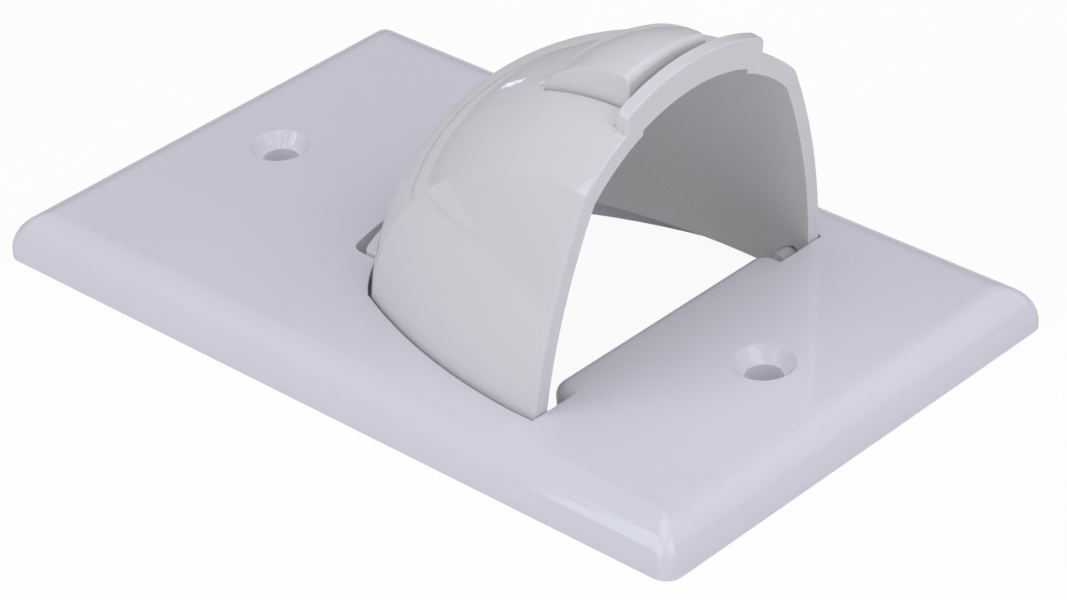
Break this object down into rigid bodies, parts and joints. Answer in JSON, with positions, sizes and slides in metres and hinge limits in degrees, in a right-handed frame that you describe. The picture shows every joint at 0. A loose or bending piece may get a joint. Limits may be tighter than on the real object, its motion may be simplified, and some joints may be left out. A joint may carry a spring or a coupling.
{
  "type": "bulk cable wall plate",
  "caption": "Wall plate with a reversible quarter-round hood hinged over its cable opening and countersunk screw holes.",
  "frame": {"origin": "middle of the plate's wall side, in the plane that lies against the wall", "axes": "+Z out of the wall into the room, +Y up the wall along the plate's length, +X across the plate"},
  "size_m": [0.0698, 0.1142, 0.0457],
  "materials": {
    "plate_plastic": "glossy cool white moulding",
    "hood_plastic": "glossy white moulding, slightly warmer than the plate"
  },
  "bodies": {
    "wall_plate": {"wall_plate": "plate_plastic"},
    "cable_hood": {"cable_hood": "hood_plastic"}
  },
  "joints": [
    {"name": "hood_hinge", "type": "hinge", "parent": "wall_plate", "child": "cable_hood", "pos_m": [0, -0.0253, 0.0031], "axis": [1, 0, 0], "range_deg": [-96.5, 0]}
  ]
}
